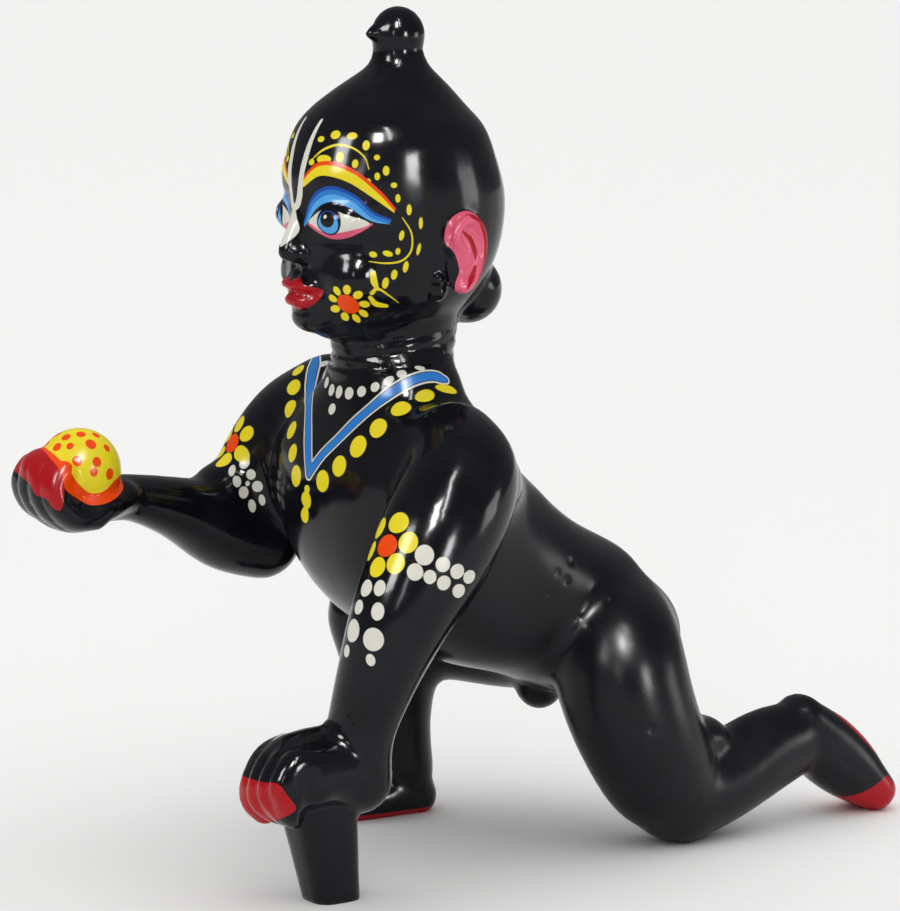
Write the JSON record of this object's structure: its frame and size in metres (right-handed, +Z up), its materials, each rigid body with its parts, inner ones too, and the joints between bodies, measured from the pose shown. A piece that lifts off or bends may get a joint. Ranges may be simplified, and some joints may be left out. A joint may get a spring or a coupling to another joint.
{
  "type": "laddu gopal idol",
  "caption": "Small cast idol of a crawling infant deity with one hand raised to hold a ball of sweet and the other resting on a peg.",
  "frame": {"origin": "on the floor, below the middle of the figure's box", "axes": "+Z up, the figure faces -Y, its left side is +X"},
  "size_m": [0.0676, 0.1322, 0.1269],
  "materials": {
    "enamel": "gloss"
  },
  "bodies": {
    "root": {"idol": "enamel"}
  },
  "joints": []
}
